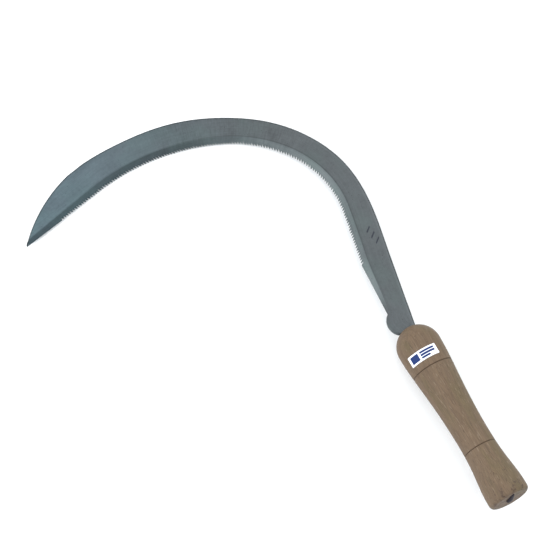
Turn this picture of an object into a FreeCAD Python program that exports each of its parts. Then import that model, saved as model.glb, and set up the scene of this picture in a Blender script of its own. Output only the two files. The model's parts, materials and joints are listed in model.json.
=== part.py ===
"""Serrated hand sickle: one forged blade with its tang, one turned wooden handle, one paper label.

The tool is drawn flat: the handle's axis is the Y axis, y = 0 is the tip of the handle's nose, the blade
is toward +Y and sweeps to -X, and z = 0 is the middle of the plate. At the end every piece is turned to
the way the tool lies on a flat surface, with the origin in the middle of the grip. Millimetres, degrees.
"""
import FreeCAD, Part
import math
import os

# ---- blade plate ----
PLATE_THICKNESS = 2.5
EDGE_THICKNESS = 0.3         # what the grinder leaves at the cutting edge
BEVEL_WIDTH = 5.0
BEVEL_WIDTH_AT_HEEL = 1.4
BEVEL_WIDTH_AT_POINT = 2.6
SPINE_ROUND = 0.8

# ---- cutting edge, from the heel notch to the point ----
HEEL_NOTCH = (-7.0, 14.4)
HEEL_HEADING = 87.0          # direction of the plain shank edge
SHANK_EDGE = 40.0            # plain edge between the notch and the first tooth
FIRST_TOOTH_TURN = 8.0       # the edge turns this much toward the spine at the first tooth
STRAIGHT_TEETH = 40.0
BENDS = ((71.0, 44.0), (90.0, 32.0), (148.0, 35.5))      # radius and sweep of each tangent bend
TIP_RUN = 64.0               # straight run that ends in the point

# ---- spine, set by the blade's width square to the cutting edge ----
SHANK_BACK_AT_NOSE = 5.5     # how far the spine stands off the handle's axis at the nose
WIDTH_FIRST_TOOTH = 20.4
WIDTH_STRAIGHT_END = 19.9
BEND_WIDTHS = ((19.0, 18.6), (18.7, 19.4), (21.5, 23.1))     # at the middle and the end of each bend
POINT_LENGTH = 53.0          # the point starts at a corner in the spine, this far back from the tip
POINT_WIDTH = 22.9
POINT_MIDDLE_WIDTH = 15.9

# ---- teeth, cut from the flat back ----
TOOTH_PITCH = 1.9
TOOTH_CUT_WIDTH = 1.85
TOOTH_CUT_DEPTH = 1.3
TOOTH_CUT_RUNOUT = 6.0
TOOTH_RAKE = 28.0
PLAIN_TIP = 30.0             # edge left without teeth at the point

# ---- heel lobe, tang and its clenched end ----
LOBE_CENTRE = (-0.8, 6.7)
LOBE_RADIUS = 10.5
LOBE_CHAMFER = 0.9
TANG_ROOT_WIDTH = 9.0
TANG_END_WIDTH = 5.0
TANG_FOOT_DEPTH = 6.0        # how deep the full-width foot stands in the nose
CLENCH_RISE = 11.2           # bent end, from the handle's axis up the butt
CLENCH_SIDE = -1.0           # middle of its foot, off the handle's axis
CLENCH_TIP_SIDE = 1.6        # middle of its tip
CLENCH_TIP_WIDTH = 2.4
CLENCH_THICKNESS = 2.2
CLENCH_TIP_THICKNESS = 1.2
CLENCH_BEND = 0.9

# ---- handle ----
HANDLE_LENGTH = 136.0
BULB_RADIUS = 15.5
WAIST_RADIUS = 11.6
WAIST_BACK = 82.0            # waist, behind the nose tip
TAPER_MIDDLE_SHARE = 0.43    # part of the bulb-to-waist step left at the middle of the taper
BUTT_RADIUS = 14.6
BUTT_FRONT = 5.0             # widest place of the butt, ahead of the butt's end
FLARE_MIDDLE_SHARE = 0.25    # part of the waist-to-butt step reached at the middle of the flare
BUTT_ROUND = 3.0
SCORE_BACKS = (33.7, 96.3)   # scored rings, behind the nose tip
SCORE_WIDTH = 0.9
SCORE_DEPTH = 0.45
TANG_FIT = 0.1               # gap on each side of the tang

# ---- label ----
LABEL_SPAN = 20.5            # straight across the handle
LABEL_HEIGHT = 7.3
LABEL_THICKNESS = 0.2
LABEL_BACK = 24.9            # middle of the label, behind the nose tip
LABEL_TURN = 12.0            # its middle stands this far round the handle, toward the edge's side

# ---- how the tool lies ----
GRIP_BACK = 70.0             # middle of the grip, behind the nose tip
LIE_ROLL = -0.6              # spine side up, so the point's side stands a little higher

TOP = PLATE_THICKNESS / 2
BACK = -PLATE_THICKNESS / 2
OVERCUT = 1.0                # how far a cutter stands outside what it cuts
UP = FreeCAD.Vector(0, 0, 1)


def vec(x, y, z=0.0):
    return FreeCAD.Vector(x, y, z)


def heading(degrees):
    return vec(math.cos(math.radians(degrees)), math.sin(math.radians(degrees)))


def toward_spine(degrees):
    """The direction square to a heading, on the side where the blade's steel is."""
    return heading(degrees - 90.0)


def prism(wire, low, high):
    """A flat closed wire, pushed from one height to another."""
    face = Part.Face(wire)
    face.translate(vec(0, 0, low))
    return face.extrude(vec(0, 0, high - low))


def polygon(points):
    return Part.makePolygon(points + [points[0]])


class EdgeRun:
    """One straight or round stretch of the cutting edge."""

    def __init__(self, start, direction, length=0.0, radius=0.0, sweep=0.0):
        self.start = start
        self.direction = direction
        self.radius = radius
        self.sweep = sweep
        self.length = length if radius == 0 else radius * math.radians(sweep)
        self.centre = start - toward_spine(direction) * radius

    def heading_at(self, distance):
        if self.radius == 0:
            return self.direction
        return self.direction + math.degrees(distance / self.radius)

    def point_at(self, distance):
        if self.radius == 0:
            return self.start + heading(self.direction) * distance
        return self.centre + toward_spine(self.heading_at(distance)) * self.radius

    def end(self):
        return self.point_at(self.length)

    def edge(self):
        if self.radius == 0:
            return Part.LineSegment(self.start, self.end()).toShape()
        return Part.Arc(self.start, self.point_at(self.length / 2), self.end()).toShape()

    def spine_point(self, distance, width):
        return self.point_at(distance) + toward_spine(self.heading_at(distance)) * width


def cutting_edge():
    """The runs of the edge: shank, straight teeth, the bends, and the run to the point."""
    runs = [EdgeRun(vec(*HEEL_NOTCH), HEEL_HEADING, length=SHANK_EDGE)]
    direction = HEEL_HEADING - FIRST_TOOTH_TURN
    runs.append(EdgeRun(runs[-1].end(), direction, length=STRAIGHT_TEETH))
    for radius, sweep in BENDS:
        runs.append(EdgeRun(runs[-1].end(), direction, radius=radius, sweep=sweep))
        direction += sweep
    runs.append(EdgeRun(runs[-1].end(), direction, length=TIP_RUN))
    return runs


def spine_edges(runs):
    """The spine: the shank's straight back, one long curve to the corner, and the point's arc."""
    shank, straight, *bends, tip = runs
    nose_back = vec(SHANK_BACK_AT_NOSE, 0)
    shank_top = straight.spine_point(0, WIDTH_FIRST_TOOTH)
    slope = shank_top - nose_back
    foot = nose_back - slope * (TANG_FOOT_DEPTH / slope.y)
    corner = tip.spine_point(tip.length - POINT_LENGTH, POINT_WIDTH)
    through = [shank_top, straight.spine_point(straight.length, WIDTH_STRAIGHT_END)]
    for bend, (middle_width, end_width) in zip(bends, BEND_WIDTHS):
        through += [bend.spine_point(bend.length / 2, middle_width), bend.spine_point(bend.length, end_width)]
    through.append(corner)
    curve = Part.BSplineCurve()
    curve.interpolate(Points=through, InitialTangent=slope.normalize(), FinalTangent=heading(tip.direction))
    middle = tip.spine_point(tip.length - POINT_LENGTH / 2, POINT_MIDDLE_WIDTH)
    back_line = Part.LineSegment(foot, shank_top).toShape()
    point_arc = Part.Arc(corner, middle, tip.end()).toShape()
    return back_line, curve.toShape(), point_arc


def bevel_cutter(run, width_start, width_end):
    """What the grinder takes off one run: everything above a slope that ends at the thin edge."""
    low = BACK + EDGE_THICKNESS

    def section(distance, width):
        out = OVERCUT
        drop = (TOP - low) / width * out
        profile = [(-out, low - drop), (width, TOP), (width, TOP + OVERCUT), (-out, TOP + OVERCUT)]
        place = run.point_at(distance)
        inward = toward_spine(run.heading_at(distance))
        return polygon([place + inward * reach + UP * height for reach, height in profile])

    if run.radius == 0:
        return Part.makeLoft([section(0, width_start), section(run.length, width_end)], True)
    return Part.Face(section(0, width_start)).revolve(run.centre, UP, run.sweep)


def tooth_cut(run, distance):
    """One chisel cut in the flat back: a V that runs out toward the spine and slopes to the point."""
    slope = math.radians(TOOTH_RAKE)
    ahead = heading(run.heading_at(distance))
    inward = toward_spine(run.heading_at(distance))
    along = inward * math.cos(slope) + ahead * math.sin(slope)
    edge_point = run.point_at(distance) + UP * BACK
    grow = (TOOTH_CUT_RUNOUT + OVERCUT) / TOOTH_CUT_RUNOUT
    outer = edge_point - along * OVERCUT
    half_width = ahead * (TOOTH_CUT_WIDTH / 2 * grow)
    below = UP * (-0.02)
    left = outer - half_width + below
    right = outer + half_width + below
    ridge = outer + UP * (TOOTH_CUT_DEPTH * grow)
    runout = edge_point + along * TOOTH_CUT_RUNOUT + below
    sides = [(left, right, ridge), (left, right, runout), (right, ridge, runout), (ridge, left, runout)]
    shell = Part.makeShell([Part.Face(polygon(list(side))) for side in sides])
    return Part.makeSolid(shell)


def tooth_cuts(runs):
    """Cuts at one pitch along the toothed length, from the first tooth to the plain tip."""
    toothed = [(run, run.length) for run in runs[1:-1]] + [(runs[-1], runs[-1].length - PLAIN_TIP)]
    cuts = []
    travelled = TOOTH_PITCH / 2
    for run, length in toothed:
        while travelled < length:
            cuts.append(tooth_cut(run, travelled))
            travelled += TOOTH_PITCH
        travelled -= length
    return cuts


def heel_lobe():
    """The round shoulder that seats in the nose, with its top edge eased."""
    centre = vec(LOBE_CENTRE[0], LOBE_CENTRE[1], BACK)
    disc = Part.makeCylinder(LOBE_RADIUS, PLATE_THICKNESS, centre, UP)
    rim = [edge for edge in disc.Edges if edge.BoundBox.ZMin > TOP - 0.01 and edge.Closed]
    return disc.makeChamfer(LOBE_CHAMFER, rim)


def tang(fit=0.0):
    """The tapering tang, from inside the lobe to the butt's end, with a gap of fit all round."""
    root = TANG_ROOT_WIDTH / 2 + fit
    end = TANG_END_WIDTH / 2 + fit
    top = LOBE_CENTRE[1]
    outline = [vec(-root, top), vec(root, top), vec(root, -TANG_FOOT_DEPTH),
               vec(end, -HANDLE_LENGTH), vec(-end, -HANDLE_LENGTH), vec(-root, -TANG_FOOT_DEPTH)]
    return prism(polygon(outline), BACK - fit, TOP + fit)


def clench():
    """The tang's end, bent up over the butt and hammered down to a thinner, narrower tip."""
    half = TANG_END_WIDTH / 2
    half_tip = CLENCH_TIP_WIDTH / 2
    foot = -PLATE_THICKNESS / 2
    seat = -HANDLE_LENGTH
    outline = [vec(CLENCH_SIDE - half, seat, foot), vec(CLENCH_SIDE + half, seat, foot),
               vec(CLENCH_SIDE + half, seat, -foot), vec(CLENCH_TIP_SIDE + half_tip, seat, CLENCH_RISE),
               vec(CLENCH_TIP_SIDE - half_tip, seat, CLENCH_RISE), vec(CLENCH_SIDE - half, seat, -foot)]
    leaf = Part.Face(polygon(outline)).extrude(vec(0, -CLENCH_THICKNESS))
    slant = [vec(-BUTT_RADIUS, seat - CLENCH_THICKNESS, -foot),
             vec(-BUTT_RADIUS, seat - CLENCH_TIP_THICKNESS, CLENCH_RISE),
             vec(-BUTT_RADIUS, seat - CLENCH_THICKNESS, CLENCH_RISE)]
    leaf = leaf.cut(Part.Face(polygon(slant)).extrude(vec(BUTT_RADIUS * 2, 0)))
    outer = [edge for edge in leaf.Edges if edge.BoundBox.YMax < seat - CLENCH_TIP_THICKNESS + 0.01]
    return leaf.makeFillet(CLENCH_BEND, outer)


def blade_node():
    """The whole steel piece: plate, ground bevel, teeth, heel lobe, tang and clenched end."""
    runs = cutting_edge()
    back_line, long_curve, point_arc = spine_edges(runs)
    foot_right = back_line.Vertexes[0].Point
    foot_left = vec(-TANG_ROOT_WIDTH / 2, -TANG_FOOT_DEPTH)
    foot_edges = [Part.LineSegment(foot_right, foot_left).toShape(),
                  Part.LineSegment(foot_left, runs[0].start).toShape()]
    outline = [run.edge() for run in runs] + [point_arc, long_curve, back_line] + foot_edges
    plate = prism(Part.Wire(Part.__sortEdges__(outline)), BACK, TOP)

    spine_ends = [back_line, long_curve, point_arc]
    rounded = [edge for edge in plate.Edges if on_spine(edge, spine_ends)]
    plate = plate.makeFillet(SPINE_ROUND, rounded)

    widths = [BEVEL_WIDTH_AT_HEEL] + [BEVEL_WIDTH] * (len(runs) - 1) + [BEVEL_WIDTH_AT_POINT]
    grinds = [bevel_cutter(run, widths[i], widths[i + 1]) for i, run in enumerate(runs)]
    plate = plate.cut(grinds)
    plate = plate.cut(tooth_cuts(runs))
    # the seam round the lobe stays, so the crescent's flat is a face of its own, clear of the handle
    return plate.fuse([trim_to_back(heel_lobe(), back_line), tang(), clench()])


def on_spine(edge, spine_curves):
    """True for a level edge of the plate that lies over or under one of the spine's curves."""
    box = edge.BoundBox
    if box.ZLength > 0.01:
        return False
    middle = edge.valueAt((edge.FirstParameter + edge.LastParameter) / 2)
    flat = Part.Vertex(vec(middle.x, middle.y))
    return any(curve.distToShape(flat)[0] < 0.01 for curve in spine_curves)


def trim_to_back(shape, back_line, fit=0.0):
    """Cuts away what stands outside the shank's straight back."""
    low = back_line.Vertexes[0].Point
    high = back_line.Vertexes[1].Point
    along = (high - low).normalize()
    out = along.cross(UP)
    reach = LOBE_RADIUS * 3
    corners = [low - along * reach, high + along * reach]
    strip = [corners[0] + out * fit, corners[1] + out * fit, corners[1] + out * reach, corners[0] + out * reach]
    return shape.cut(prism(polygon(strip), BACK - OVERCUT, TOP + OVERCUT))


def turned_profile(grow=0.0):
    """The handle's half outline in the XY plane, with its radii grown by a layer's thickness."""
    nose = vec(0, grow)
    bulb_side = vec(BULB_RADIUS + grow, -BULB_RADIUS)
    diagonal = (BULB_RADIUS + grow) * math.sqrt(0.5)
    nose_arc = Part.Arc(nose, vec(diagonal, diagonal - BULB_RADIUS), bulb_side).toShape()
    butt_widest = -(HANDLE_LENGTH - BUTT_FRONT)
    taper_middle = -(BULB_RADIUS + WAIST_BACK) / 2
    taper_radius = WAIST_RADIUS + (BULB_RADIUS - WAIST_RADIUS) * TAPER_MIDDLE_SHARE
    flare_middle = (butt_widest - WAIST_BACK) / 2
    flare_radius = WAIST_RADIUS + (BUTT_RADIUS - WAIST_RADIUS) * FLARE_MIDDLE_SHARE
    through = [bulb_side, vec(taper_radius + grow, taper_middle), vec(WAIST_RADIUS + grow, -WAIST_BACK),
               vec(flare_radius + grow, flare_middle), vec(BUTT_RADIUS + grow, butt_widest)]
    side = Part.BSplineCurve()
    side.interpolate(Points=through, InitialTangent=vec(0, -1), FinalTangent=vec(0, -1))
    end = -HANDLE_LENGTH - grow
    flat_radius = BUTT_RADIUS - BUTT_ROUND
    turn = BUTT_ROUND * math.sqrt(0.5)
    shoulder = vec(BUTT_RADIUS + grow, -(HANDLE_LENGTH - BUTT_ROUND))
    round_middle = vec(flat_radius + turn + grow, -(HANDLE_LENGTH - BUTT_ROUND) - turn)
    round_end = vec(flat_radius + grow, end)
    edges = [nose_arc, side.toShape(),
             Part.LineSegment(through[-1], shoulder).toShape(),
             Part.Arc(shoulder, round_middle, round_end).toShape(),
             Part.LineSegment(round_end, vec(0, end)).toShape(),
             Part.LineSegment(vec(0, end), nose).toShape()]
    return edges


def turned_body(grow=0.0):
    face = Part.Face(Part.Wire(turned_profile(grow)))
    return face.revolve(vec(0, 0), vec(0, 1), 360)


def radius_at(back):
    """The turned handle's radius, that far behind the nose tip."""
    side = turned_profile()[1]
    level = Part.LineSegment(vec(0, -back), vec(BULB_RADIUS * 2, -back)).toShape()
    return side.distToShape(level)[1][0][0].x


def score_ring(back):
    """The V that the turner's tool scores round the handle."""
    radius = radius_at(back)
    half = SCORE_WIDTH / 2
    outline = [vec(radius - SCORE_DEPTH, -back), vec(radius + SCORE_DEPTH, -back + 2 * half),
               vec(radius + SCORE_DEPTH, -back - 2 * half)]
    return Part.Face(polygon(outline)).revolve(vec(0, 0), vec(0, 1), 360)


def handle_node():
    """The turned wood, scored twice, with the seat of the heel and the hole of the tang."""
    back_line = spine_edges(cutting_edge())[0]
    centre = vec(LOBE_CENTRE[0], LOBE_CENTRE[1], BACK - TANG_FIT)
    seat = Part.makeCylinder(LOBE_RADIUS, PLATE_THICKNESS + 2 * TANG_FIT, centre, UP)
    seat = trim_to_back(seat, back_line, TANG_FIT)
    foot_right = back_line.Vertexes[0].Point
    back_at_lobe = back_line.Vertexes[1].Point
    gap = vec(TANG_FIT, 0)
    foot_left = vec(-TANG_ROOT_WIDTH / 2, -TANG_FOOT_DEPTH)
    foot = prism(polygon([foot_left - gap, foot_right + gap, back_at_lobe + gap, vec(*HEEL_NOTCH) - gap]),
                 BACK - TANG_FIT, TOP + TANG_FIT)
    hole = seat.fuse([foot, tang(TANG_FIT)])
    rings = [score_ring(back) for back in SCORE_BACKS]
    return turned_body().cut([hole] + rings).removeSplitter()


def label_node():
    """The paper label, wrapped over the bulb."""
    window = Part.makeBox(LABEL_SPAN, LABEL_HEIGHT, BULB_RADIUS * 2,
                          vec(-LABEL_SPAN / 2, -LABEL_BACK - LABEL_HEIGHT / 2, 0))
    paper = turned_body(LABEL_THICKNESS).cut(turned_body()).common(window)
    paper.rotate(vec(0, 0), vec(0, 1), -LABEL_TURN)
    return paper


def lie_pitch():
    """How far the butt stands up when the bulb and the arch's back rest on one flat surface."""
    arch = cutting_edge()[-2]
    touch = arch.spine_point(arch.length / 2, BEND_WIDTHS[-1][0])
    span = touch.y + BULB_RADIUS
    touch_below_axis = TOP - touch.x * math.sin(math.radians(LIE_ROLL))
    to_touch = math.hypot(span, touch_below_axis)
    return math.degrees(math.asin(BULB_RADIUS / to_touch) - math.atan2(touch_below_axis, span))


def lay_down(shape):
    """Moves the grip's middle to the origin and turns the tool to the way it lies."""
    shape.translate(vec(0, GRIP_BACK))
    shape.rotate(vec(0, 0), vec(0, 1), -LIE_ROLL)
    shape.rotate(vec(0, 0), vec(1, 0), -lie_pitch())
    return shape


def main():
    os.makedirs("parts", exist_ok=True)
    print("lies with its butt up", round(lie_pitch(), 3), "degrees")
    nodes = {"blade": blade_node(), "handle": handle_node(), "label": label_node()}
    for name, shape in nodes.items():
        solid = lay_down(shape)
        solid.exportStep("parts/" + name + ".step")
        box = solid.BoundBox
        print(name, "solids", len(solid.Solids), "valid", solid.isValid(), "volume", round(solid.Volume, 1),
              "box", [round(value, 1) for value in (box.XMin, box.YMin, box.ZMin, box.XMax, box.YMax, box.ZMax)])


main()
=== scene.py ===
import json
import math

import bmesh
import bpy
import numpy as np
from mathutils import Matrix, Vector, noise
from mathutils.bvhtree import BVHTree


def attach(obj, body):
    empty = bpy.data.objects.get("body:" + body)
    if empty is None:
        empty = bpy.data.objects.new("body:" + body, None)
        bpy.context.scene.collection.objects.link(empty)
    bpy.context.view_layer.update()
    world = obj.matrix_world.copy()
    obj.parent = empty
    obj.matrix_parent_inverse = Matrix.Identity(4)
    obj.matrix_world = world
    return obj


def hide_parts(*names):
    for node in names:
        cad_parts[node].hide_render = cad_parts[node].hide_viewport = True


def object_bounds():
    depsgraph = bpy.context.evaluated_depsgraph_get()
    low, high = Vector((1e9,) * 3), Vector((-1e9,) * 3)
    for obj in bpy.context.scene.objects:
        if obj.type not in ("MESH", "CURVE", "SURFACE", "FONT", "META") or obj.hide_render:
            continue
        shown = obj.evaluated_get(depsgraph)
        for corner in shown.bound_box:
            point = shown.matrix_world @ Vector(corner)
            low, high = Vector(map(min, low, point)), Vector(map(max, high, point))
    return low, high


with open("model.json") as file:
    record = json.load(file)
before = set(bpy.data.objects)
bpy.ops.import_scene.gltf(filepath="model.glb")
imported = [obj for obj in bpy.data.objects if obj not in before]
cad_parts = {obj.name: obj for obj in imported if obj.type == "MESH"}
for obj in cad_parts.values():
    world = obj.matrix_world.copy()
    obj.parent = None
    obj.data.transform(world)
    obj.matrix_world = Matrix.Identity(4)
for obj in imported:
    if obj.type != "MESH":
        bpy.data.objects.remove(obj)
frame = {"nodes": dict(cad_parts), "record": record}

cadLow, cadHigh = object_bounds()
cadCentre = (cadLow + cadHigh) / 2
scene = bpy.context.scene
draw = np.random.default_rng(41)      # the one source of every random draw
mm = 0.001

# The tool is built flat, in mm: Y along the handle with 0 at the nose tip, the blade toward +Y and -X,
# Z out of the bevel side with 0 at the middle of the plate. The two mounts say how it lies in the frame.
mounts = {mount["name"]: mount for mount in frame["record"]["mounts"]}
forward = Vector(mounts["grip"]["axis"]).normalized()
right = forward.cross(Vector(mounts["blade_flat"]["axis"])).normalized()
toolAxes = np.array([right, forward, right.cross(forward)])
gripBack = 70.0       # the frame's origin, behind the nose tip


def toRow(flat):
    return (np.asarray(flat, float) + (0, gripBack, 0)) @ toolAxes * mm


def toFlat(row):
    return np.asarray(row, float) / mm @ toolAxes.T - (0, gripBack, 0)


def treeOf(node):
    data = frame["nodes"][node].data
    return BVHTree.FromPolygons([v.co for v in data.vertices], [p.vertices for p in data.polygons])


def rayReach(tree, start, toward):
    # how far a ray goes before it meets the CAD piece; both points are flat, in mm
    begin, end = Vector(toRow(start)), Vector(toRow(toward))
    hit = tree.ray_cast(begin, (end - begin).normalized())[0]
    return None if hit is None else (hit - begin).length / mm


def wander(points, size, seed):
    # smooth noise from about -1 to 1, one value for each point
    return np.array([noise.noise(Vector(p) / size + Vector((seed, seed * 0.7, 0))) for p in points]) * 1.6


def softened(values, spacing, reach):
    # gaussian smoothing of evenly spaced values, with the ends held
    half = max(1, int(3 * reach / spacing))
    weights = np.exp(-0.5 * (np.arange(-half, half + 1) * spacing / reach) ** 2)
    padded = np.concatenate([np.full(half, values[0]), values, np.full(half, values[-1])])
    return np.convolve(padded, weights / weights.sum(), "valid")


def meshPiece(name, flatPoints, faces, facts=None, sharp=30.0):
    # a piece in the row frame; facts are numbers for each point that its material reads
    data = bpy.data.meshes.new(name)
    data.from_pydata([tuple(p) for p in toRow(flatPoints)], [], [tuple(map(int, f)) for f in faces])
    for fact, values in (facts or {}).items():
        data.attributes.new(fact, "FLOAT", "POINT").data.foreach_set("value", np.asarray(values, np.float32))
    work = bmesh.new()
    work.from_mesh(data)
    bmesh.ops.remove_doubles(work, verts=work.verts, dist=0.002 * mm)
    bmesh.ops.dissolve_degenerate(work, edges=work.edges, dist=0.002 * mm)
    bmesh.ops.recalc_face_normals(work, faces=work.faces)
    work.to_mesh(data)
    work.free()
    piece = bpy.data.objects.new(name, data)
    scene.collection.objects.link(piece)
    finishMesh(piece, sharp)
    return piece


def finishMesh(piece, sharp):
    # smooth shading with crisp edges, and the flat coordinates as an attribute
    data = piece.data
    data.shade_smooth()
    data.set_sharp_from_angle(angle=math.radians(sharp))
    places = np.array([v.co for v in data.vertices])
    if "flat" in data.attributes:
        data.attributes.remove(data.attributes["flat"])
    layer = data.attributes.new("flat", "FLOAT_VECTOR", "POINT")
    layer.data.foreach_set("vector", toFlat(places).astype(np.float32).ravel())


def gridFaces(rows, columns, closed=True):
    # quads of a grid whose rows are rings, or strips when not closed
    last = columns if closed else columns - 1
    return [(i * columns + j, i * columns + (j + 1) % columns,
             (i + 1) * columns + (j + 1) % columns, (i + 1) * columns + j)
            for i in range(rows - 1) for j in range(last)]


def newTree(name):
    material = bpy.data.materials.new(name)
    material.use_nodes = True
    material.node_tree.nodes.clear()
    return material, material.node_tree


def add(tree, kind, inputs=None, **settings):
    node = tree.nodes.new("ShaderNode" + kind)
    for key, value in settings.items():
        setattr(node, key, value)
    for key, value in (inputs or {}).items():
        if isinstance(value, bpy.types.NodeSocket):
            tree.links.new(value, node.inputs[key])
        else:
            node.inputs[key].default_value = value
    return node


def fact(tree, name):
    return add(tree, "Attribute", attribute_name=name).outputs["Fac"]


def flatVector(tree, scale=(1, 1, 1)):
    place = add(tree, "Attribute", attribute_name="flat").outputs["Vector"]
    return add(tree, "VectorMath", {0: place, 1: scale}, operation="MULTIPLY").outputs["Vector"]


def axisOf(tree, axis):
    return add(tree, "SeparateXYZ", {0: flatVector(tree)}).outputs[axis]


def calc(tree, operation, a, b=0.0):
    return add(tree, "Math", {0: a, 1: b}, operation=operation).outputs[0]


def times(tree, a, b):
    return calc(tree, "MULTIPLY", a, b)


def plus(tree, a, b):
    return calc(tree, "ADD", a, b)


def minus(tree, a, b):
    return calc(tree, "SUBTRACT", a, b)


def swing(tree, pattern, reach):
    # a pattern from 0 to 1, made to run from -reach to reach
    return times(tree, minus(tree, pattern, 0.5), 2 * reach)


def band(tree, value, low, high, toLow=0.0, toHigh=1.0):
    # smooth step of a value from one number to another
    return add(tree, "MapRange", {"Value": value, "From Min": low, "From Max": high, "To Min": toLow,
                                  "To Max": toHigh}, interpolation_type="SMOOTHSTEP").outputs["Result"]


def speckle(tree, vector, size=1.0, detail=3.0, rough=0.5):
    return add(tree, "TexNoise", {"Vector": vector, "Scale": size, "Detail": detail,
                                  "Roughness": rough}).outputs["Fac"]


def flatSpeckle(tree, scale, detail=3.0, rough=0.5):
    # noise over the flat coordinates; scale is one number, or one for each axis
    scales = scale if isinstance(scale, tuple) else (scale, scale, scale)
    return speckle(tree, flatVector(tree, scales), 1.0, detail, rough)


def cells(tree, scale):
    return add(tree, "TexVoronoi", {"Vector": flatVector(tree, scale), "Scale": 1.0}).outputs["Distance"]


def join3(tree, x, y, z=0.0):
    return add(tree, "CombineXYZ", {0: x, 1: y, 2: z}).outputs[0]


def blendColour(tree, share, under, over, how="MIX"):
    node = add(tree, "Mix", data_type="RGBA", blend_type=how)
    for socket, value in ((node.inputs[0], share), (node.inputs[6], under), (node.inputs[7], over)):
        if isinstance(value, bpy.types.NodeSocket):
            tree.links.new(value, socket)
        else:
            socket.default_value = value if isinstance(value, float) else (*value, 1.0)
    return node.outputs[2]


def shade(tree, colour, brightness):
    # a colour times a number that varies over the surface
    grey = add(tree, "CombineColor", {0: brightness, 1: brightness, 2: brightness}).outputs[0]
    return blendColour(tree, 1.0, colour, grey, "MULTIPLY")


def darkened(tree, colour, amount):
    return shade(tree, colour, minus(tree, 1.0, amount))


def tinted(tree, colour, share, tint):
    return blendColour(tree, share, colour, blendColour(tree, 1.0, colour, tint, "MULTIPLY"))


def surface(tree, colour, roughness, height, heightMm, fixed=None):
    # fixed holds plain numbers for the shader's other sockets
    bump = add(tree, "Bump", {"Height": height, "Distance": heightMm * mm, "Strength": 1.0})
    shader = add(tree, "BsdfPrincipled", {"Base Color": colour, "Roughness": roughness,
                                          "Normal": bump.outputs[0]})
    for socket, value in (fixed or {}).items():
        shader.inputs[socket].default_value = value
    add(tree, "OutputMaterial", {"Surface": shader.outputs[0]})


blade = {
    "plate": 2.5, "edge": 0.3, "spineRound": 0.8,
    "bevel": 5.0, "bevelAtHeel": 1.4, "bevelAtPoint": 2.6,
    "cornerDrop": 0.03, "cornerReach": 0.3,       # the face is eased this much where the bevel starts
    "notch": (-7.0, 14.4), "heelHeading": 87.0, "plainShank": 40.0, "firstToothTurn": 8.0, "straight": 40.0,
    "bends": ((71.0, 44.0), (90.0, 32.0), (148.0, 35.5)),       # radius and sweep of each
    "tipRun": 64.0, "tipTaper": 4.0, "tipWidth": 0.15,
    "tipGap": 0.45,                               # the mesh ends this far short of the tip
    "toothPitch": 1.9, "cutWidth": 1.85, "cutDepth": 1.3, "cutRunout": 6.0, "cutRake": 28.0, "plainTip": 30.0,
    "toothUnevenness": 0.16, "toothShift": 0.12,
    "leanFrom": (20.0, 40.0), "leanTo": (305.0, 325.0),         # where the cuts' lean fades in and out
    "lobeCentre": (-0.8, 6.7), "lobeRadius": 10.5, "lobeChamfer": 0.9,
    "tangLength": 136.0,
    "waviness": 0.045, "waveSize": 26.0,          # how far the plate wanders from flat, and over what length
}
stationStep = blade["toothPitch"] / 8
top, back = blade["plate"] / 2, -blade["plate"] / 2


def edgeHeading(distance):
    # the cutting edge's direction in degrees, that far from the heel notch
    marks, turns = [0.0, blade["plainShank"]], [blade["heelHeading"]] * 2
    marks += [marks[-1], marks[-1] + blade["straight"]]
    turns += [turns[-1] - blade["firstToothTurn"]] * 2
    for radius, sweep in blade["bends"]:
        marks.append(marks[-1] + radius * math.radians(sweep))
        turns.append(turns[-1] + sweep)
    marks.append(marks[-1] + blade["tipRun"])
    turns.append(turns[-1])
    return np.interp(distance, marks, turns), marks[-1]


def edgePlaces(distance):
    length = edgeHeading(0)[1]
    fine = np.linspace(0, length, 8000)
    angle = np.radians(edgeHeading((fine[1:] + fine[:-1]) / 2)[0])
    step = fine[1]
    x = np.concatenate([[0], np.cumsum(np.cos(angle)) * step]) + blade["notch"][0]
    y = np.concatenate([[0], np.cumsum(np.sin(angle)) * step]) + blade["notch"][1]
    return np.stack([np.interp(distance, fine, x), np.interp(distance, fine, y)], axis=1)


def heelStations(tree):
    # level sections from the tang's end up to where the lobe's circle meets the shank's edge
    cx, cy = blade["lobeCentre"]
    start, turn = np.array(blade["notch"]) - (cx, cy), math.radians(blade["heelHeading"])
    half = start @ (math.cos(turn), math.sin(turn))
    meet = -half + math.sqrt(half ** 2 - start @ start + blade["lobeRadius"] ** 2)
    joinY = blade["notch"][1] + meet * math.sin(turn)
    levels = np.concatenate([np.arange(-blade["tangLength"], -8, 2.0), np.arange(-8, joinY, 0.25), [joinY]])
    rows = []
    for y in levels:
        probe = max(y, -blade["tangLength"] + 0.5)
        left = -60 + rayReach(tree, (-60, probe, 0), (0, probe, 0))
        rightSide = 60 - rayReach(tree, (60, probe, 0), (0, probe, 0))
        edge, bevel = blade["plate"] - 0.02, 0.3
        if abs(y - cy) < blade["lobeRadius"] * 0.93 and y > -6:
            depth = math.sqrt(blade["lobeRadius"] ** 2 - (y - cy) ** 2)
            left = cx - depth
            edge = blade["plate"] - blade["lobeChamfer"]
            bevel = blade["lobeChamfer"] * blade["lobeRadius"] / depth
        rows.append((left, y, 0.0, rightSide - left, edge, bevel, 0.0, y - joinY))
    return rows, meet


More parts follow.
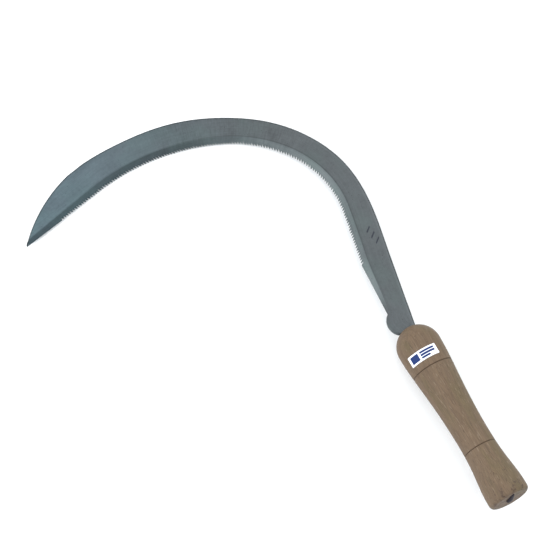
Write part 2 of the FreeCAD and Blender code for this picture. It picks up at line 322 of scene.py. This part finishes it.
def bladeStations(tree):
    # one row for each section: place, direction toward the spine, width, edge thickness, bevel, cut, distance
    rows, meet = heelStations(tree)
    length = edgeHeading(0)[1]
    firstTooth, teeth = blade["plainShank"], int((length - blade["plainTip"] - blade["plainShank"])
                                                 / blade["toothPitch"])
    toothEnd = firstTooth + teeth * blade["toothPitch"]
    along = np.concatenate([np.arange(meet + 0.4, 4, 0.3), np.arange(4, firstTooth, 0.8),
                            np.arange(teeth * 8) * stationStep + firstTooth,
                            np.arange(toothEnd, length - 8, 0.4),
                            np.linspace(length - 8, length - blade["tipGap"], 60)])
    fine = np.arange(-30, length, 0.5)
    turning = np.where(fine < 0, 90.0, edgeHeading(np.maximum(fine, 0))[0])
    sections = np.interp(along, fine, softened(turning, 0.5, 8.0)) - 90

    places = edgePlaces(along)
    even = np.arange(0, length, 0.25)
    reach = []
    for distance, place, angle in zip(even, edgePlaces(even), np.interp(even, along, sections)):
        inward = np.array([math.cos(math.radians(angle)), math.sin(math.radians(angle)), 0])
        place = np.append(place, 0)
        hit = rayReach(tree, place + inward * 60, place)
        reach.append(60 - hit if hit is not None and hit < 60 else 0.0)
    widths = np.interp(along, even, softened(np.array(reach), 0.25, 0.7))
    corner = length - blade["tipTaper"]
    taper = np.interp(along, [corner, length], [np.interp(corner, along, widths), blade["tipWidth"]])
    widths = np.where(along > corner, taper, widths) - 0.02

    depths = blade["cutDepth"] * (1 + blade["toothUnevenness"] * draw.uniform(-1, 1, teeth))
    shifts = blade["toothShift"] * draw.uniform(-1, 1, teeth)
    tooth = np.clip(((along - firstTooth) / blade["toothPitch"]).astype(int), 0, teeth - 1)
    middle = firstTooth + (tooth + 0.5) * blade["toothPitch"] + shifts[tooth]
    away = np.abs(along - middle) / (blade["cutWidth"] / 2)
    cuts = np.where((along > firstTooth) & (along < toothEnd), depths[tooth] * (1 - away), 0).clip(0)

    bevels = np.interp(along, [0, firstTooth, length - blade["tipRun"], length],
                       [blade["bevelAtHeel"], blade["bevel"], blade["bevel"], blade["bevelAtPoint"]])
    edges = np.interp(along, [meet, 3.5], [blade["plate"] - blade["lobeChamfer"], blade["edge"]])
    for i, distance in enumerate(along):
        rows.append((*places[i], sections[i], widths[i], edges[i], bevels[i], cuts[i], distance))
    return np.array(rows)


def sectionPoints(station):
    # one closed section: the flat back, the rounded spine, the face and the bevel, ending at the edge
    x, y, angle, width, edge, bevel, cut, along = station
    bevel = min(bevel, width * 0.8)
    slope = (blade["plate"] - edge) / max(bevel, 0.01)
    slope = min(slope, (blade["plate"] - edge) / 0.3)
    runout = min(blade["cutRunout"], width * 0.45)
    fall = blade["cutDepth"] / runout
    notch = max(0.0, (cut - edge) / (slope + fall))
    spineTop = back + min(blade["plate"], edge + slope * width)
    rounding = min(blade["spineRound"], 0.45 * (spineTop - back), 0.3 * width)
    reach = blade["cornerReach"]

    def face(u):
        eased = blade["cornerDrop"] * max(0.0, 1 - abs(u - bevel) / reach)
        return back + min(blade["plate"], edge + slope * u) - eased

    shape = []
    for share in (0.0, 0.06, 0.18, 0.35, 0.6, 1.0):
        u = notch + (runout - notch) * share
        shape.append((u, back + max(0.0, cut - fall * u)))
    inner = width - rounding
    shape += [(runout + (inner - runout) * share, back) for share in (0.2, 0.45, 0.7, 0.9, 1.0)]
    turns = [math.radians(a) for a in (30, 60, 90)]
    shape += [(inner + rounding * math.sin(a), back + rounding * (1 - math.cos(a))) for a in turns]
    shape += [(inner + rounding * math.cos(a), spineTop - rounding * (1 - math.sin(a)))
              for a in [0.0] + turns]
    ridgeAt = [bevel + reach, bevel, bevel - reach] if bevel > 0.8 else [bevel, bevel * 0.9, bevel * 0.8]
    shape += [(inner + (ridgeAt[0] - inner) * share, None) for share in (0.12, 0.35, 0.6, 0.85, 1.0)]
    shape += [(u, None) for u in ridgeAt[1:]]
    shape += [(ridgeAt[2] + (notch - ridgeAt[2]) * share, None) for share in (0.25, 0.5, 0.75, 1.0)]
    shape = [(u, face(u) if z is None else z) for u, z in shape]

    leaning = np.interp(along, blade["leanFrom"], [0, 1]) * np.interp(along, blade["leanTo"], [1, 0])
    rake = math.tan(math.radians(blade["cutRake"])) * leaning
    points, facts = [], []
    inward = np.array([math.cos(math.radians(angle)), math.sin(math.radians(angle))])
    ahead = np.array([-inward[1], inward[0]])
    for u, z in shape:
        beyond = np.clip((u - runout) / max(width - runout, 0.01), 0, 1)
        shear = rake * (u if u < runout else runout * (1 - beyond ** 2 * (3 - 2 * beyond)))
        spot = np.array([x, y]) + inward * u + ahead * shear
        points.append((*spot, z))
        facts.append((along + shear, u, width - u, u / max(bevel, 0.01)))
    return points, facts


def buildBlade():
    stations = bladeStations(treeOf("blade"))
    points, facts = [], []
    for station in stations:
        sectionSpots, sectionFacts = sectionPoints(station)
        points += sectionSpots
        facts += sectionFacts
    count = len(points) // len(stations)
    faces = gridFaces(len(stations), count)
    faces += [tuple(range(count)), tuple(range(len(points) - count, len(points)))]
    points, facts = np.array(points), np.array(facts)
    # the rolled plate isn't quite flat; the heel and the tang stay straight in the wood
    free = np.clip((points[:, 1] - 18) / 30, 0, 1)
    points[:, 2] += blade["waviness"] * free * wander(points * (1, 1, 0), blade["waveSize"], 3.1)
    piece = meshPiece("sickleBlade", points, faces,
                      {"along": facts[:, 0], "fromEdge": facts[:, 1], "fromSpine": facts[:, 2],
                       "bevelShare": facts[:, 3]}, sharp=26.0)
    piece.data.materials.append(bladeSteel())
    print("sickleBlade:", len(stations), "sections,", len(piece.data.polygons), "faces")
    return piece, stations


steel = {
    "tipPaintedLight": (0.097, 0.131, 0.150), "shankPaintedShade": (0.080, 0.088, 0.092), "sides": (-190.0, 0.0),
    "mottle": 0.26, "grain": 0.20, "streaks": 0.20, "green": (0.95, 1.01, 0.98),
    "crossMarks": 0.34, "crownFrom": (110.0, 150.0), "crownTo": (215.0, 250.0),
    "bevelTint": (1.18, 1.23, 1.22), "bevelScratches": 0.17, "bevelLine": 0.20,
    "bevelPaintedShade": 0.47, "bevelShadeFrom": (150.0, 235.0),
    "oxideAndRimShade": (0.016, 0.018, 0.019), "shadedRimWidth": 1.3, "ink": (0.016, 0.018, 0.028),
    "roughness": (0.36, 0.50),
}


def rolledColourWithPaintedShade(tree, along, fromEdge, patterns):
    # painted shade: the base colour runs from a lighter tip side to a darker shank side along flat X,
    # standing in for how light falls along the blade
    colour = blendColour(tree, band(tree, axisOf(tree, 0), *steel["sides"]), steel["tipPaintedLight"],
                         steel["shankPaintedShade"])
    brightness = 1.0
    for name, pattern in patterns.items():
        brightness = plus(tree, brightness, swing(tree, pattern, steel[name]))
    # the crown keeps marks that run across the blade
    crossMarks = speckle(tree, join3(tree, times(tree, along, 0.9), times(tree, fromEdge, 0.07)),
                         1.0, 4.0, 0.7)
    onCrown = times(tree, band(tree, along, *steel["crownFrom"]),
                    band(tree, along, *steel["crownTo"], 1.0, 0.15))
    marks = times(tree, swing(tree, crossMarks, steel["crossMarks"]), onCrown)
    colour = shade(tree, colour, plus(tree, brightness, marks))
    return tinted(tree, colour, band(tree, flatSpeckle(tree, 0.035), 0.42, 0.60), steel["green"])


def groundBevel(tree, colour, along, onBevel, grinding):
    # lighter and scratched across; toward the point it is darkened with painted shade
    colour = tinted(tree, colour, onBevel, steel["bevelTint"])
    # painted shade: the bevel toward the point is darkened, standing in for light it doesn't catch there
    tipwardBevelShade = band(tree, along, *steel["bevelShadeFrom"], 0.0, 1 - steel["bevelPaintedShade"])
    colour = darkened(tree, colour, times(tree, onBevel, tipwardBevelShade))
    scratches = times(tree, onBevel, swing(tree, grinding, steel["bevelScratches"]))
    colour = shade(tree, colour, plus(tree, 1.0, scratches))
    # a darker line where the bevel starts
    fromLine = calc(tree, "ABSOLUTE", minus(tree, fact(tree, "bevelShare"), 1.07))
    line = times(tree, band(tree, fromLine, 0.13, 0.0), band(tree, along, 20.0, 60.0))
    return darkened(tree, colour, times(tree, line, steel["bevelLine"]))


def spineShadeAndOxide(tree, colour):
    # painted shade as a dark rim along the rounded spine, broken up a little, and dark oxide in small pits
    uneven = plus(tree, fact(tree, "fromSpine"), swing(tree, flatSpeckle(tree, 0.5, 4.0, 0.6), 0.45))
    # painted shade: the rounded spine is darkened, standing in for the shade of its rounding
    rim = band(tree, uneven, steel["shadedRimWidth"], 0.35)
    colour = blendColour(tree, times(tree, rim, 0.80), colour, steel["oxideAndRimShade"])
    pits = band(tree, cells(tree, (0.35, 0.35, 0.35)), 0.11, 0.05)
    return blendColour(tree, times(tree, pits, 0.55), colour, steel["oxideAndRimShade"])


def bladeSteel():
    material, tree = newTree("groundSteel")
    along, fromEdge = fact(tree, "along"), fact(tree, "fromEdge")
    mottle, grain = flatSpeckle(tree, 0.07, 5.0, 0.6), flatSpeckle(tree, 0.6, 4.0, 0.6)
    streaks = speckle(tree, join3(tree, times(tree, along, 0.035), times(tree, fromEdge, 1.6)), 1.0, 5.0, 0.6)
    grinding = speckle(tree, join3(tree, times(tree, along, 5.0), times(tree, fromEdge, 0.4)), 1.0, 3.0, 0.7)
    onBevel = times(tree, band(tree, fact(tree, "bevelShare"), 1.04, 0.94), band(tree, along, 4.0, 12.0))

    colour = rolledColourWithPaintedShade(tree, along, fromEdge, {"mottle": mottle, "grain": grain, "streaks": streaks})
    colour = groundBevel(tree, colour, along, onBevel, grinding)
    colour = spineShadeAndOxide(tree, colour)
    colour = blendColour(tree, inkStrokes(tree), colour, steel["ink"])

    cloudy = plus(tree, times(tree, mottle, 0.6), times(tree, grain, 0.4))
    relief = plus(tree, times(tree, streaks, 0.6), times(tree, grain, 0.5))
    relief = plus(tree, relief, times(tree, onBevel, grinding))
    surface(tree, colour, band(tree, cloudy, 0.3, 0.7, *steel["roughness"]), relief, 0.012,
            {"Metallic": 0.82})
    return material


shankInk = {"from": (11.2, 74.2), "to": (13.0, 64.4), "strokes": 3, "length": 4.0, "width": 0.9, "lean": 0.8}


def inkStrokes(tree):
    # plain slanted strokes of marker ink on the shank, side by side, saying nothing
    x, y = axisOf(tree, 0), axisOf(tree, 1)
    smear = swing(tree, flatSpeckle(tree, 0.9), 0.35)
    width, length = shankInk["width"], shankInk["length"]
    total = 0.0
    for share in np.linspace(0, 1, shankInk["strokes"]):
        middleX, middleY = (float(a + (b - a) * share) for a, b in zip(shankInk["from"], shankInk["to"]))
        beside = minus(tree, x, middleX)
        off = minus(tree, minus(tree, y, middleY), times(tree, beside, shankInk["lean"]))
        off = calc(tree, "ABSOLUTE", plus(tree, off, smear))
        beside = calc(tree, "ABSOLUTE", beside)
        stroke = times(tree, band(tree, off, width, width * 0.35),
                       band(tree, beside, length * 0.55, length * 0.4))
        total = calc(tree, "MAXIMUM", total, stroke)
    onFace = band(tree, axisOf(tree, 2), 0.6, 1.0)
    return times(tree, times(tree, total, onFace), 0.8)


sickleBlade, bladeSections = buildBlade()
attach(sickleBlade, "root")
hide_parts("blade")


clench = {"low": (-1.0, 1.15), "lowRadius": 2.35, "tip": (1.5, 10.1), "tipRadius": 0.9, "middle": (-0.3, 3.8),
          "crown": 2.1, "tipCrown": 1.1, "hammerMarks": 0.14,
          "oxide": (0.014, 0.010, 0.015), "worn": (0.036, 0.026, 0.031)}


def clenchReach(angle):
    # a drop: what a circle covers as it shrinks on its way up from the tang to the tip
    toward = np.array([math.cos(angle), math.sin(angle)])
    low, tip = np.array(clench["low"]), np.array(clench["tip"])
    reach = 0.0
    for share in np.linspace(0, 1, 30):
        centre = low + (tip - low) * share - clench["middle"]
        radius = clench["lowRadius"] + (clench["tipRadius"] - clench["lowRadius"]) * share
        beside = radius ** 2 - (centre @ centre - (centre @ toward) ** 2)
        if beside > 0:
            reach = max(reach, centre @ toward + math.sqrt(beside))
    return reach


def buildClench():
    around, steps, seat = 72, 16, -blade["tangLength"]
    middle = np.array(clench["middle"])
    outline = [clenchReach(2 * math.pi * j / around) for j in range(around)]
    points = []
    for k in range(steps + 1):
        # the last ring is in the wood
        share = 0.97 if k == steps else math.sin(math.pi / 2 * k / (steps - 1))
        for j in range(around):
            angle = 2 * math.pi * j / around
            x, z = middle + np.array([math.cos(angle), math.sin(angle)]) * outline[j] * share
            crown = np.interp(z, [clench["low"][1], clench["tip"][1]], [clench["crown"], clench["tipCrown"]])
            rise = -0.5 if k == steps else crown * (1 - share ** 2.6) ** 0.5
            points.append((x, seat - rise, z))
    points = np.array(points)
    dents = wander(points, 1.7, 8.2).clip(-1, 1)
    crownWard = np.clip((seat - points[:, 1]) / clench["crown"], 0, 1)
    points[:, 1] += clench["hammerMarks"] * (dents + 1) * crownWard
    points = np.vstack([points, [middle[0], seat + 0.5, middle[1]]])
    faces = gridFaces(steps + 1, around)
    foot = steps * around
    faces += [(foot + j, foot + (j + 1) % around, len(points) - 1) for j in range(around)]
    piece = meshPiece("tangClench", points, faces, sharp=55.0)
    piece.data.materials.append(clenchOxide())
    print("tangClench:", len(piece.data.polygons), "faces")
    return piece


def clenchOxide():
    material, tree = newTree("hammeredOxide")
    scale, fine = flatSpeckle(tree, 1.1, 4.0, 0.6), flatSpeckle(tree, 4.5, 4.0, 0.7)
    bare = times(tree, band(tree, scale, 0.52, 0.75), 0.7)
    colour = blendColour(tree, bare, clench["oxide"], clench["worn"])
    colour = shade(tree, colour, band(tree, fine, 0.2, 0.8, 0.7, 1.25))
    height = plus(tree, scale, times(tree, fine, 0.35))
    surface(tree, colour, band(tree, fine, 0.3, 0.7, 0.50, 0.70), height, 0.25,
            {"Metallic": 0.15, "Specular IOR Level": 0.25})
    return material


tangClench = buildClench()
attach(tangClench, "root")
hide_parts("blade")


handle = {
    "length": blade["tangLength"],      # the tang reaches the butt's end
    "bulb": 15.5, "waist": 11.6, "waistBack": 82.0, "taperShare": 0.43,
    "butt": 14.6, "buttFront": 5.0, "flareShare": 0.25, "buttRound": 3.0,
    "scoreBacks": (33.7, 96.3), "scoreWidth": 0.9, "scoreDepth": 0.45,
    "slotGap": 0.12, "around": 176, "ringStep": 0.62,
    "grainRelief": 0.05, "outOfRound": 0.10,
}


def sideRadius(behind):
    # the turned side's radius: a smooth cubic through the bulb, the waist and the butt
    widest = handle["length"] - handle["buttFront"]
    stops = np.array([handle["bulb"], (handle["bulb"] + handle["waistBack"]) / 2, handle["waistBack"],
                      (handle["waistBack"] + widest) / 2, widest])
    taper = handle["waist"] + (handle["bulb"] - handle["waist"]) * handle["taperShare"]
    flare = handle["waist"] + (handle["butt"] - handle["waist"]) * handle["flareShare"]
    radii = np.array([handle["bulb"], taper, handle["waist"], flare, handle["butt"]])
    gaps, rises = np.diff(stops), np.diff(radii) / np.diff(stops)
    # slopes of the clamped spline, level at both ends
    system, wanted = np.eye(5), np.zeros(5)
    for i in (1, 2, 3):
        system[i, i - 1:i + 2] = (gaps[i], 2 * (gaps[i - 1] + gaps[i]), gaps[i - 1])
        wanted[i] = 3 * (gaps[i] * rises[i - 1] + gaps[i - 1] * rises[i])
    slopes = np.linalg.solve(system, wanted)
    k = np.clip(np.searchsorted(stops, behind, "right") - 1, 0, 3)
    t = np.clip((behind - stops[k]) / gaps[k], 0, 1)
    return (radii[k] * (1 + 2 * t) * (1 - t) ** 2 + slopes[k] * gaps[k] * t * (1 - t) ** 2
            + radii[k + 1] * t ** 2 * (3 - 2 * t) + slopes[k + 1] * gaps[k] * t ** 2 * (t - 1))


def handleProfile():
    # (behind the nose tip, radius) of every ring, from the nose to the middle of the butt
    bulb, length, rounding = handle["bulb"], handle["length"], handle["buttRound"]
    rings = [(bulb * (1 - math.cos(a)), bulb * math.sin(a))
             for a in np.radians(np.linspace(1.5, 90, 44))[:-1]]
    widest = length - handle["buttFront"]
    behind = list(np.arange(bulb, widest, handle["ringStep"]))
    for score in handle["scoreBacks"]:
        behind = [b for b in behind if abs(b - score) > 1.0] + list(score + np.linspace(-0.9, 0.9, 19))
    for b in sorted(behind) + [widest]:
        cut = sum(handle["scoreDepth"] * max(0.0, 1 - abs(b - score) / (handle["scoreWidth"] / 2)) ** 0.8
                  for score in handle["scoreBacks"])
        rings.append((b, float(sideRadius(b)) - cut))
    for a in np.radians(np.linspace(0, 90, 12)):
        rings.append((length - rounding + rounding * math.sin(a),
                      handle["butt"] - rounding + rounding * math.cos(a)))
    flat = handle["butt"] - rounding
    rings += [(length, flat * share) for share in (0.9, 0.8, 0.65, 0.5, 0.35, 0.2, 0.08)]
    return rings


def buildHandle():
    rings, around = handleProfile(), handle["around"]
    angles = np.arange(around) * 2 * math.pi / around
    points = np.array([(r * math.cos(a), -b, r * math.sin(a)) for b, r in rings for a in angles])
    # wood moves after turning: slightly oval, with a fine relief that follows the grain, always inward
    radius = np.hypot(points[:, 0], points[:, 2]).clip(0.01)
    oval = handle["outOfRound"] * (0.5 + 0.5 * wander(points * (1, 0.3, 1), 14.0, 5.0).clip(-1, 1))
    grain = handle["grainRelief"] * (0.5 + 0.5 * wander(points * (1, 0.06, 1), 1.5, 6.0).clip(-1, 1))
    onSide = np.clip((radius - 4) / 6, 0, 1)
    points[:, [0, 2]] *= (1 - (oval + grain) * onSide / radius)[:, None]
    atEnd = points[:, 1] < -handle["length"] + 0.01
    points[atEnd, 1] += 0.10 * (1 + wander(points[atEnd] * (1, 0, 1), 3.0, 2.2).clip(-1, 1))
    points = np.vstack([points, [0, 0, 0], [0, -handle["length"] + 0.1, 0]])
    faces = gridFaces(len(rings), around)
    nose, butt, lastRing = len(points) - 2, len(points) - 1, (len(rings) - 1) * around
    faces += [(nose, (j + 1) % around, j) for j in range(around)]
    faces += [(butt, lastRing + j, lastRing + (j + 1) % around) for j in range(around)]
    piece = meshPiece("turnedHandle", points, faces, sharp=40.0)
    cutSlot(piece)
    finishMesh(piece, 40.0)
    piece.data.materials.append(turnedWood())
    print("turnedHandle:", len(rings), "rings,", len(piece.data.polygons), "faces")
    return piece


def cutSlot(piece):
    # the seat of the heel and the hole of the tang follow the blade's own sections
    gap = handle["slotGap"]
    heel = bladeSections[bladeSections[:, 7] <= 0]
    points = []
    for i, (x, y, _, width, *_) in enumerate(heel):
        y = y - 2.0 if i == 0 else y      # the cutter runs out past the butt
        for px in (x - gap, x + width + gap):
            points += [(px, y, back - gap), (px, y, top + gap)]
    order = np.array(points).reshape(-1, 4, 3)[:, [0, 2, 3, 1]].reshape(-1, 3)
    faces = gridFaces(len(heel), 4) + [(0, 1, 2, 3), tuple(range(len(order) - 4, len(order)))]
    cutter = meshPiece("slotCutter", order, faces)
    cut = piece.modifiers.new("slot", "BOOLEAN")
    cut.operation, cut.solver, cut.object = "DIFFERENCE", "EXACT", cutter
    carved = bpy.data.meshes.new_from_object(piece.evaluated_get(bpy.context.evaluated_depsgraph_get()))
    piece.modifiers.clear()
    piece.data = carved
    carved.name = piece.name
    bpy.data.objects.remove(cutter)


wood = {
    "ground": (0.128, 0.086, 0.054), "late": (0.102, 0.067, 0.041), "pore": (0.038, 0.024, 0.015),
    "fleck": (0.215, 0.165, 0.115), "score": (0.040, 0.024, 0.015), "smudge": (0.046, 0.027, 0.021),
    "olive": (0.104, 0.080, 0.040), "pith": (38.0, 0.0, -46.0), "ringGap": 3.1, "roughness": (0.55, 0.72),
}


def grainColour(tree, fibres, pore):
    # growth rings cut lengthways, with pores and pale flecks as short dashes along the grain
    sway = flatSpeckle(tree, (0.05, 0.012, 0.05))
    fromPith = add(tree, "VectorMath", {0: flatVector(tree, (1, 0.02, 1)), 1: wood["pith"]},
                   operation="DISTANCE").outputs["Value"]
    growth = plus(tree, calc(tree, "DIVIDE", fromPith, wood["ringGap"]), times(tree, sway, 5.0))
    phase = calc(tree, "FRACT", growth)
    late = times(tree, band(tree, phase, 0.35, 0.92), band(tree, phase, 1.0, 0.93))
    colour = blendColour(tree, times(tree, late, 0.45), wood["ground"], wood["late"])
    broad = flatSpeckle(tree, (0.09, 0.02, 0.09), 4.0, 0.55)
    colour = blendColour(tree, band(tree, broad, 0.45, 0.68, 0.0, 0.6), colour, wood["olive"])
    colour = shade(tree, colour, band(tree, fibres, 0.25, 0.75, 0.80, 1.20))
    colour = blendColour(tree, times(tree, pore, 0.55), colour, wood["pore"])
    fleck = band(tree, flatSpeckle(tree, (1.3, 0.16, 1.3), 2.0), 0.62, 0.70)
    return blendColour(tree, times(tree, fleck, 0.50), colour, wood["fleck"])


def endGrain(tree, colour, behind):
    # the butt's own end shows open pores and is a little darker
    endFace = band(tree, behind, handle["length"] - 0.6, handle["length"] - 0.2)
    pores = band(tree, cells(tree, (1.4, 0.1, 1.4)), 0.28, 0.12, 0.0, 0.6)
    colour = blendColour(tree, times(tree, endFace, pores), colour, wood["pore"])
    return darkened(tree, colour, times(tree, endFace, 0.05))


def handleMarksAndSteelShade(tree, colour, behind):
    # burnt score lines, grime near the butt's corner, a few spots, and painted shade as a dark rim round the
    # steel
    for score in handle["scoreBacks"]:
        near = calc(tree, "ABSOLUTE", minus(tree, behind, score))
        burnt = band(tree, near, handle["scoreWidth"] * 0.55, handle["scoreWidth"] * 0.15, 0.0, 0.60)
        colour = blendColour(tree, burnt, colour, wood["score"])
    smears = band(tree, flatSpeckle(tree, (0.30, 0.22, 0.30), 5.0, 0.65), 0.50, 0.62)
    corner = times(tree, band(tree, behind, handle["length"] - 10, handle["length"] - 2.5), smears)
    colour = blendColour(tree, times(tree, corner, 0.75), colour, wood["smudge"])
    dots = band(tree, flatSpeckle(tree, (0.55, 0.30, 0.55), 2.0), 0.67, 0.73)
    spots = times(tree, band(tree, behind, handle["length"] - 40, handle["length"] - 24), dots)
    colour = blendColour(tree, times(tree, spots, 0.5), colour, wood["smudge"])
    # painted shade: the wood round the blade's entry is darkened where shade falls between steel and wood
    fromPlate = calc(tree, "ABSOLUTE", axisOf(tree, 2))
    shadeRoundSteel = times(tree, band(tree, behind, 7.0, 2.0), band(tree, fromPlate, 3.2, 1.2))
    return blendColour(tree, times(tree, shadeRoundSteel, 0.55), colour, wood["pore"])


def turnedWood():
    material, tree = newTree("turnedWood")
    fibres = flatSpeckle(tree, (1.5, 0.055, 1.5), 5.0, 0.65)
    pore = band(tree, flatSpeckle(tree, (2.6, 0.20, 2.6), 2.0), 0.635, 0.70)
    behind = times(tree, axisOf(tree, 1), -1.0)
    colour = grainColour(tree, fibres, pore)
    colour = endGrain(tree, colour, behind)
    colour = handleMarksAndSteelShade(tree, colour, behind)
    relief = minus(tree, times(tree, fibres, 0.6), pore)
    surface(tree, colour, band(tree, fibres, 0.3, 0.7, *wood["roughness"]), relief, 0.06,
            {"Specular IOR Level": 0.25})
    return material


turnedHandle = buildHandle()
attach(turnedHandle, "root")
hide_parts("handle")


label = {
    "span": 20.5, "height": 7.3, "behind": 24.9, "turn": -12.0, "across": 80, "down": 32,
    "under": 0.02, "over": 0.17,           # the sheet's two faces above the wood, inside its CAD box
    "paper": (0.90, 0.91, 0.93), "blue": (0.003, 0.022, 0.115),
    "block": (-8.9, -2.9, -2.6, 2.6),      # left, right, low and high of each printed shape
    "lines": ((-1.5, 8.7, 1.2, 2.6), (-1.5, 8.7, -0.75, 0.75), (-1.5, 5.0, -2.6, -1.2)),
}


def buildLabel():
    columns, rows = label["across"] + 1, label["down"] + 1
    grid = [(label["span"] * (i / label["across"] - 0.5), label["height"] * (k / label["down"] - 0.5))
            for k in range(rows) for i in range(columns)]
    cosine, sine = math.cos(math.radians(label["turn"])), math.sin(math.radians(label["turn"]))
    layers = []
    for lift in (label["under"], label["over"]):
        for x, y in grid:
            behind = label["behind"] - y
            z = math.sqrt((float(sideRadius(behind)) + lift) ** 2 - x * x)
            layers.append((x * cosine + z * sine, -behind, z * cosine - x * sine))
    count = columns * rows
    lower = gridFaces(rows, columns, closed=False)
    faces = [tuple(reversed(f)) for f in lower] + [tuple(i + count for i in f) for f in lower]
    ring = (list(range(columns)) + [k * columns + columns - 1 for k in range(1, rows)]
            + [count - 1 - i for i in range(1, columns)]
            + [(rows - 1 - k) * columns for k in range(1, rows - 1)])
    faces += [(a, b, b + count, a + count) for a, b in zip(ring, ring[1:] + ring[:1])]
    prints = np.array(grid * 2)
    piece = meshPiece("paperLabel", layers, faces,
                      {"across": prints[:, 0], "upward": prints[:, 1]}, sharp=50.0)
    piece.data.materials.append(labelPrint())
    print("paperLabel:", len(piece.data.polygons), "faces")
    return piece


def printedBar(tree, x, y, left, rightEdge, low, high):
    soft = 0.10
    inside = times(tree, band(tree, x, left - soft, left + soft),
                   band(tree, x, rightEdge + soft, rightEdge - soft))
    return times(tree, inside, times(tree, band(tree, y, low - soft, low + soft),
                                     band(tree, y, high + soft, high - soft)))


def labelPrint():
    # white paper with a plain blue block and three plain lines, in place of any wording
    material, tree = newTree("labelPrint")
    x, y = fact(tree, "across"), fact(tree, "upward")
    inked = printedBar(tree, x, y, *label["block"])
    for line in label["lines"]:
        inked = calc(tree, "MAXIMUM", inked, printedBar(tree, x, y, *line))
    fibre, worn = flatSpeckle(tree, 1.6, 5.0, 0.7), flatSpeckle(tree, 5.0, 3.0, 0.6)
    paper = shade(tree, label["paper"], band(tree, fibre, 0.2, 0.8, 0.96, 1.02))
    inked = times(tree, inked, band(tree, worn, 0.2, 0.42, 0.93, 1.0))
    colour = blendColour(tree, inked, paper, label["blue"])
    surface(tree, colour, band(tree, fibre, 0.3, 0.7, 0.45, 0.58), fibre, 0.010, {"Specular IOR Level": 0.2})
    return material


paperLabel = buildLabel()
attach(paperLabel, "root")
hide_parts("label")


studio = {
    "benchSide": 6.0, "bench": (0.93, 0.93, 0.93),
    "worldColour": (0.93, 0.97, 1.0), "worldStrength": 1.3,
    "keyToward": (-0.92, 0.20, 0.80), "keyDistance": 1.5, "keySide": 1.2, "keyPower": 12.0,
    "skyToward": (0.75, 0.25, 0.9), "skyDistance": 1.9, "skySide": 1.5, "skyPower": 14.0,
}


def buildBench():
    half, steps = studio["benchSide"] / 2, 25
    spots = np.linspace(-half, half, steps)
    level = cadLow.z
    data = bpy.data.meshes.new("bench")
    data.from_pydata([(cadCentre.x + x, cadCentre.y + y, level) for y in spots for x in spots], [],
                     gridFaces(steps, steps, closed=False))
    bench = bpy.data.objects.new("bench", data)
    scene.collection.objects.link(bench)
    material, tree = newTree("paleBench")
    place = add(tree, "TexCoord").outputs["Object"]
    cloudy = speckle(tree, place, 9.0, 3.0, 0.5)
    colour = shade(tree, studio["bench"], band(tree, cloudy, 0.3, 0.7, 0.985, 1.0))
    surface(tree, colour, band(tree, cloudy, 0.3, 0.7, 0.75, 0.85), cloudy, 0.02)
    data.materials.append(material)


def softLight(name, toward, distance, side, power):
    lamp = bpy.data.lights.new(name, "AREA")
    lamp.shape, lamp.size, lamp.energy = "DISK", side, power
    light = bpy.data.objects.new(name, lamp)
    scene.collection.objects.link(light)
    direction = Vector(toward).normalized()
    light.location = cadCentre + direction * distance
    light.rotation_euler = direction.to_track_quat("Z", "Y").to_euler()


def buildStudio():
    world = bpy.data.worlds.new("studio")
    world.use_nodes = True
    shader = world.node_tree.nodes["Background"]
    shader.inputs[0].default_value = (*studio["worldColour"], 1)
    shader.inputs[1].default_value = studio["worldStrength"]
    scene.world = world
    softLight("keyPanel", studio["keyToward"], studio["keyDistance"], studio["keySide"], studio["keyPower"])
    softLight("skyPanel", studio["skyToward"], studio["skyDistance"], studio["skySide"], studio["skyPower"])
    scene.view_settings.view_transform = "Standard"


camera = {"aimFromCentre": (0.0274, 0.0390, -0.0090), "azimuth": -26.99, "elevation": 74.41, "roll": -1.99,
          "distance": 1.91, "lens": 184.67}


def buildCamera():
    data = bpy.data.cameras.new("camera")
    data.lens, data.sensor_width = camera["lens"], 36.0
    view = bpy.data.objects.new("camera", data)
    scene.collection.objects.link(view)
    turn, tilt = math.radians(camera["azimuth"]), math.radians(camera["elevation"])
    toCamera = Vector((math.sin(turn) * math.cos(tilt), -math.cos(turn) * math.cos(tilt), math.sin(tilt)))
    roll = Matrix.Rotation(math.radians(camera["roll"]), 3, "Z")
    spin = (-toCamera).to_track_quat("-Z", "Y").to_matrix() @ roll
    place = cadCentre + Vector(camera["aimFromCentre"]) + toCamera * camera["distance"]
    view.matrix_world = Matrix.Translation(place) @ spin.to_4x4()
    scene.camera = view


buildBench()
buildStudio()
buildCamera()
print("bench, light and camera are set")

print("CAD box", [round(v, 4) for v in (*cadLow, *cadHigh)])
